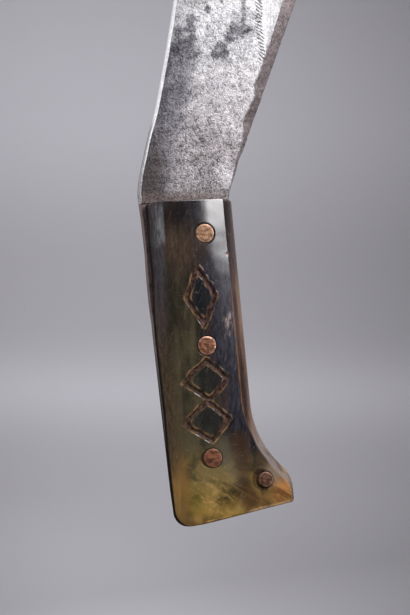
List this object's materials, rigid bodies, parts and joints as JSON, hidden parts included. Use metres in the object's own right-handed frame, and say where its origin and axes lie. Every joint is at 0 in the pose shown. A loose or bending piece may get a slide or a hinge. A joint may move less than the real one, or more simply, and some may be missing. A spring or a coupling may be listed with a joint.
{
  "type": "machete",
  "caption": "Machete: forged blade widening to a curved belly and point, full tang between horn scales that end in a beak, countersunk copper rivets.",
  "frame": {"origin": "middle of the grip where the hand closes, on the middle plane of the blade", "axes": "+Z along the grip towards the blade, +X across the grip towards the cutting edge, +Y through the thickness; the right-hand scale is on the -Y side"},
  "size_m": [0.1377, 0.0236, 0.4984],
  "materials": {
    "steel": "old forged steel, dark patina with fine pitting",
    "right_horn": "polished horn, blue-black at the front to olive and honey at the butt",
    "left_horn": "polished dark horn",
    "copper": "dull brown copper with worn rims"
  },
  "bodies": {
    "root": {"blade": "steel", "right_scale": "right_horn", "left_scale": "left_horn", "front_rivet": "copper", "middle_rivet": "copper", "rear_rivet": "copper", "beak_rivet": "copper"}
  },
  "joints": []
}
